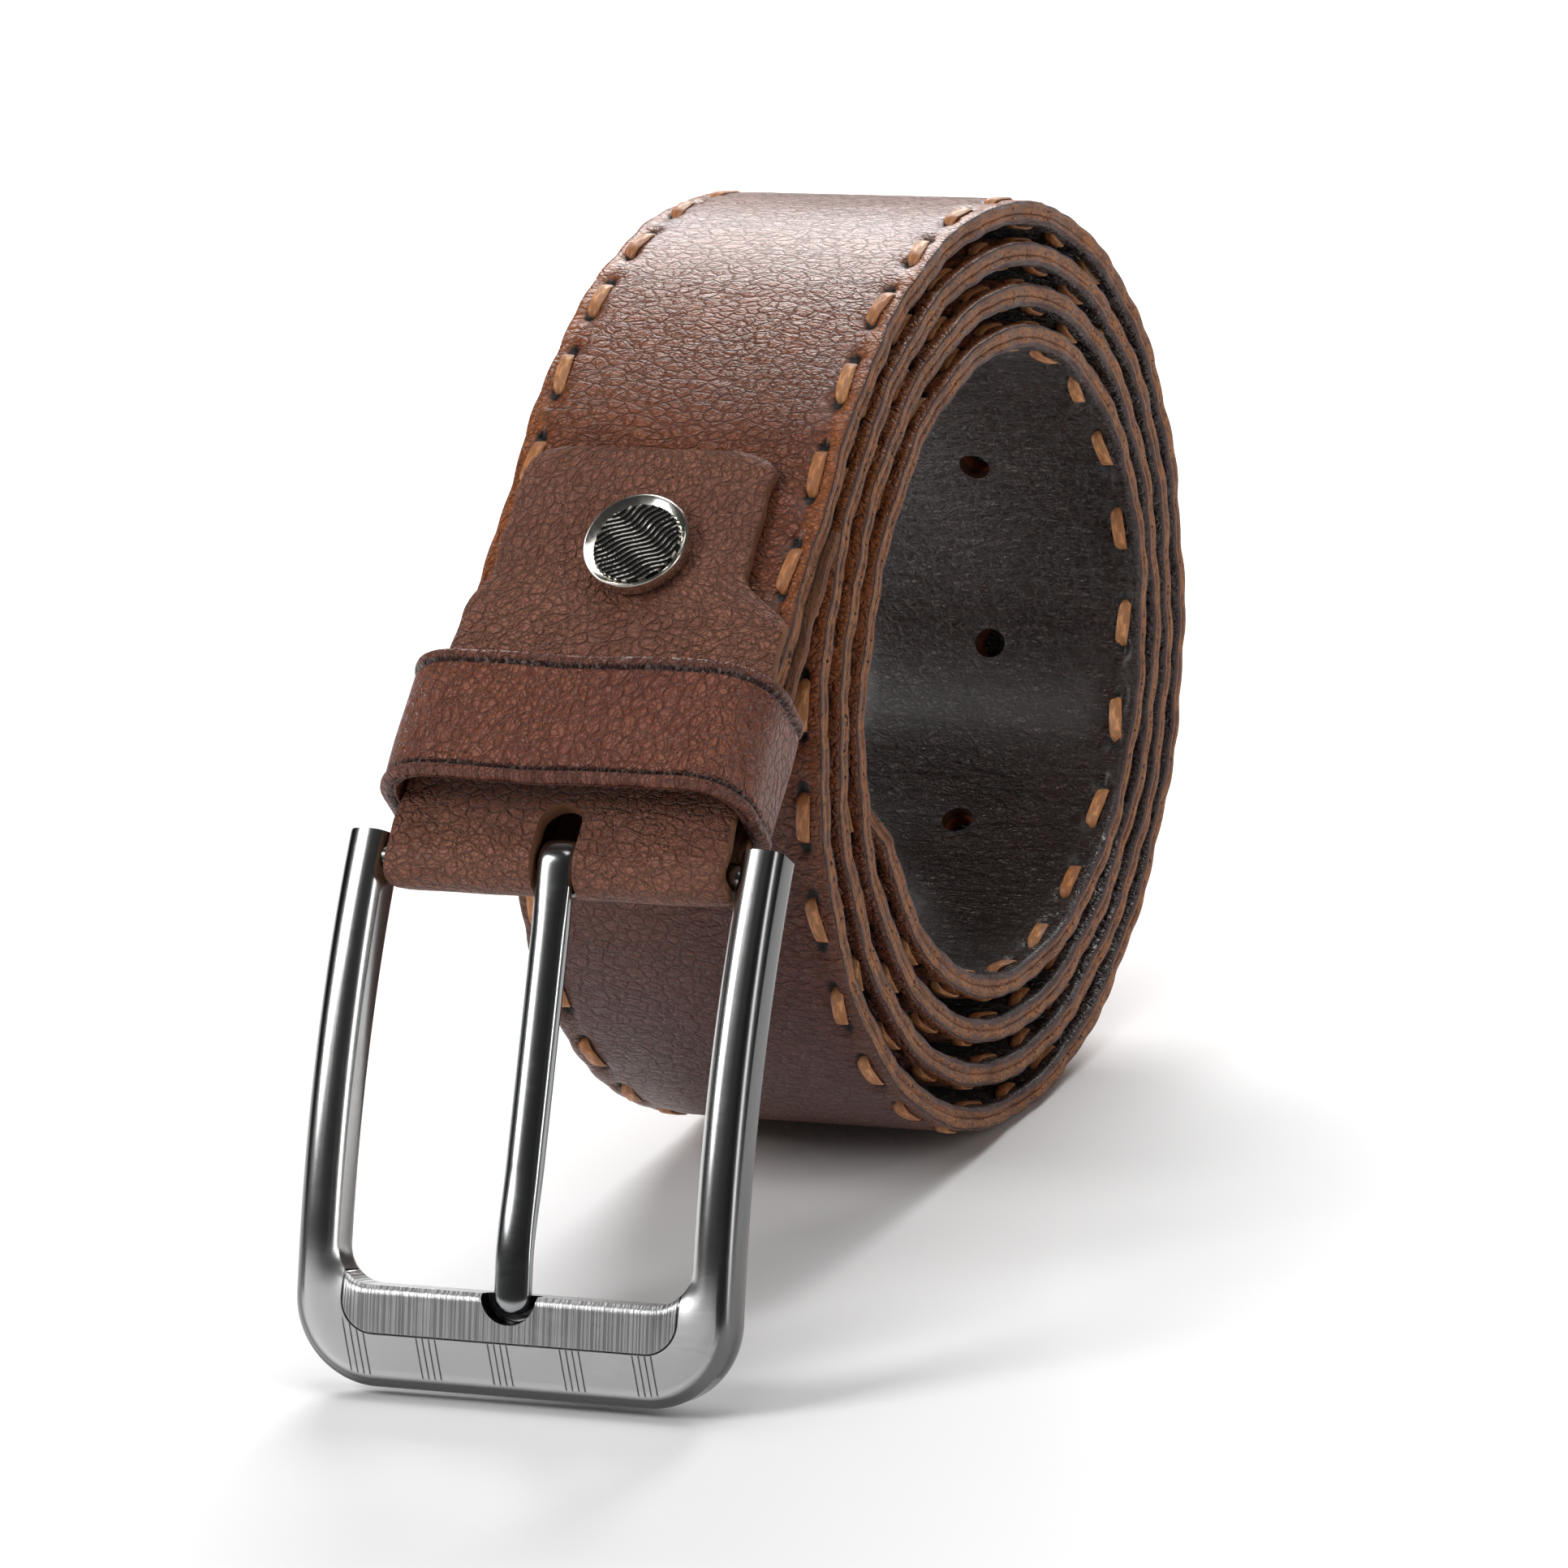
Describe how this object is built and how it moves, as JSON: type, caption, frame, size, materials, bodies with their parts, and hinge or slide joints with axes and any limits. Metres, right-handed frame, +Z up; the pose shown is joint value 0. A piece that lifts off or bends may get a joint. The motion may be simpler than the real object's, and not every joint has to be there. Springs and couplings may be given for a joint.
{
  "type": "leather belt",
  "caption": "Rolled gentleman's leather belt standing on its edge, with running stitch, riveted chape, sliding keeper loop and a hinged frame buckle with its prong.",
  "frame": {"origin": "on the resting plane, under the middle of the object's box", "axes": "+X across the strap, along the roll's axis; +Y from the hanging buckle end to the back of the roll; +Z up"},
  "size_m": [0.0504, 0.1664, 0.1068],
  "materials": {
    "grain_leather": "pebbled full grain, waxed semi-gloss",
    "lining_leather": "smooth near-black lining with cross wrinkles",
    "chape_leather": "finer pebbled grain, satin",
    "thread": "flat waxed linen thread",
    "bright_nickel": "bright nickel plate",
    "blackened_nickel": "blackened field under bright ridges",
    "polished_gunmetal": "polished grey nickel with satin engraved foot",
    "dark_chrome": "dark polished chrome"
  },
  "bodies": {
    "strap": {"strap_grain": "grain_leather", "strap_lining": "lining_leather", "stitching_left": "thread", "stitching_right": "thread", "chape": "chape_leather", "stud_cap": "bright_nickel", "stud_inlay": "blackened_nickel", "stud_barrel": "bright_nickel", "stud_screw": "bright_nickel"},
    "keeper": {"keeper_loop": "chape_leather", "keeper_staples": "bright_nickel"},
    "buckle": {"buckle_frame": "polished_gunmetal", "buckle_bar": "bright_nickel"},
    "prong": {"prong": "dark_chrome"}
  },
  "joints": [
    {"name": "keeper_slide", "type": "slide", "parent": "strap", "child": "keeper", "axis": [0, 0.732, 0.6813], "range_m": [-0.001, 0.0075]},
    {"name": "buckle_hinge", "type": "hinge", "parent": "strap", "child": "buckle", "pos_m": [0, -0.05898, 0.05272], "axis": [-1, 0, 0], "range_deg": [-12, 50]},
    {"name": "prong_hinge", "type": "hinge", "parent": "buckle", "child": "prong", "pos_m": [0, -0.05898, 0.05272], "axis": [-1, 0, 0], "range_deg": [0, 60]}
  ]
}
